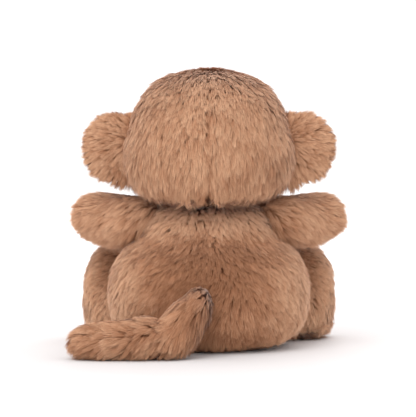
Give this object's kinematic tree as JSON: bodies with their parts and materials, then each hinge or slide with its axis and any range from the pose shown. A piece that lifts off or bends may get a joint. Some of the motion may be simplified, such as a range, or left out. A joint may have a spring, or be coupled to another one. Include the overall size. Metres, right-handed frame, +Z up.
{
  "type": "stuffed monkey",
  "caption": "Seated plush monkey with deep pile fur, round ears, stubby arms, upright feet and a long curled tail; head, ears, limbs and tail bend at their seams.",
  "frame": {"origin": "centre of the flat seat, on the surface that the toy sits on", "axes": "+Z up, the face looks along -Y, +X is the monkey's own left; the tail lies to +X behind the seat"},
  "size_m": [0.224, 0.2025, 0.2311],
  "materials": {
    "long_plush": "matte",
    "short_plush": "matte",
    "stuffing": "matte",
    "eye_plastic": "gloss",
    "washer_plastic": "satin",
    "dark_thread": "satin",
    "sewing_thread": "matte",
    "label_satin": "satin",
    "bag_cloth": "matte",
    "plastic_pellets": "satin"
  },
  "bodies": {
    "torso": {"torso_back_panel_left": "long_plush", "torso_back_panel_right": "long_plush", "torso_belly_panel": "long_plush", "seat_base_panel": "long_plush", "torso_stuffing": "stuffing", "pellet_bag": "bag_cloth", "pellet_fill": "plastic_pellets", "back_closing_stitches": "sewing_thread", "care_label": "label_satin"},
    "neck": {"neck_stuffing": "stuffing", "neck_stitches": "sewing_thread"},
    "head": {"head_back_panel_left": "long_plush", "head_back_panel_right": "long_plush", "face_panel": "short_plush", "muzzle_panel": "short_plush", "muzzle_stuffing": "stuffing", "head_stuffing": "stuffing", "eye_left": "eye_plastic", "eye_right": "eye_plastic", "eye_washer_left": "washer_plastic", "eye_washer_right": "washer_plastic", "nose_patch": "dark_thread", "mouth_thread": "dark_thread"},
    "tail_wad": {"tail_root_wad": "stuffing"},
    "tail_root": {"tail_root_skin": "long_plush", "tail_root_stuffing": "stuffing"},
    "tail_tip": {"tail_tip_skin": "long_plush", "tail_tip_stuffing": "stuffing"},
    "ear_left": {"ear_left_back_panel": "long_plush", "ear_left_lining": "short_plush", "ear_left_batting": "stuffing"},
    "shoulder_left": {"shoulder_left_wad": "stuffing"},
    "arm_left": {"arm_left_upper_panel": "long_plush", "arm_left_palm_panel": "long_plush", "arm_left_stuffing": "stuffing"},
    "hip_left": {"hip_left_wad": "stuffing"},
    "leg_left": {"leg_left_outer_panel": "long_plush", "leg_left_inner_panel": "long_plush", "sole_pad_left": "short_plush", "leg_left_stuffing": "stuffing"},
    "ear_right": {"ear_right_back_panel": "long_plush", "ear_right_lining": "short_plush", "ear_right_batting": "stuffing"},
    "shoulder_right": {"shoulder_right_wad": "stuffing"},
    "arm_right": {"arm_right_upper_panel": "long_plush", "arm_right_palm_panel": "long_plush", "arm_right_stuffing": "stuffing"},
    "hip_right": {"hip_right_wad": "stuffing"},
    "leg_right": {"leg_right_outer_panel": "long_plush", "leg_right_inner_panel": "long_plush", "sole_pad_right": "short_plush", "leg_right_stuffing": "stuffing"}
  },
  "joints": [
    {"name": "neck_turn", "type": "hinge", "parent": "torso", "child": "neck", "pos_m": [0, 0, 0.106], "axis": [0, 0, 1], "range_deg": [-30, 30]},
    {"name": "neck_nod", "type": "hinge", "parent": "neck", "child": "head", "pos_m": [0, 0, 0.106], "axis": [1, 0, 0], "range_deg": [-10, 12]},
    {"name": "ear_left_fold", "type": "hinge", "parent": "head", "child": "ear_left", "pos_m": [0.062, -0.004, 0.168], "axis": [0, 0, -1], "range_deg": [-22, 25]},
    {"name": "ear_right_fold", "type": "hinge", "parent": "head", "child": "ear_right", "pos_m": [-0.062, -0.004, 0.168], "axis": [0, 0, 1], "range_deg": [-22, 25]},
    {"name": "arm_left_swing", "type": "hinge", "parent": "torso", "child": "shoulder_left", "pos_m": [0.063, -0.002, 0.108], "axis": [0, 0, -1], "range_deg": [-20, 12]},
    {"name": "arm_left_lift", "type": "hinge", "parent": "shoulder_left", "child": "arm_left", "pos_m": [0.063, -0.002, 0.108], "axis": [-0.741, -0.6715, 0], "range_deg": [-7, 25]},
    {"name": "arm_right_swing", "type": "hinge", "parent": "torso", "child": "shoulder_right", "pos_m": [-0.063, -0.002, 0.108], "axis": [0, 0, 1], "range_deg": [-20, 12]},
    {"name": "arm_right_lift", "type": "hinge", "parent": "shoulder_right", "child": "arm_right", "pos_m": [-0.063, -0.002, 0.108], "axis": [-0.741, 0.6715, 0], "range_deg": [-7, 25]},
    {"name": "leg_left_splay", "type": "hinge", "parent": "torso", "child": "hip_left", "pos_m": [0.062, -0.047, 0.026], "axis": [0, 0, 1], "range_deg": [-8, 18]},
    {"name": "leg_left_lift", "type": "hinge", "parent": "hip_left", "child": "leg_left", "pos_m": [0.062, -0.047, 0.026], "axis": [-0.7682, -0.6402, 0], "range_deg": [0, 18]},
    {"name": "leg_right_splay", "type": "hinge", "parent": "torso", "child": "hip_right", "pos_m": [-0.062, -0.047, 0.026], "axis": [0, 0, -1], "range_deg": [-8, 18]},
    {"name": "leg_right_lift", "type": "hinge", "parent": "hip_right", "child": "leg_right", "pos_m": [-0.062, -0.047, 0.026], "axis": [-0.7682, 0.6402, 0], "range_deg": [0, 18]},
    {"name": "tail_swing", "type": "hinge", "parent": "torso", "child": "tail_wad", "pos_m": [0.004, 0.079, 0.043], "axis": [0, 0, 1], "range_deg": [-4, 80]},
    {"name": "tail_lift", "type": "hinge", "parent": "tail_wad", "child": "tail_root", "pos_m": [0.004, 0.079, 0.043], "axis": [0.3162, -0.9487, 0], "range_deg": [0, 30]},
    {"name": "tail_bend", "type": "hinge", "parent": "tail_root", "child": "tail_tip", "pos_m": [0.058, 0.097, 0.019], "axis": [0, 0, 1], "range_deg": [-30, 30]}
  ]
}
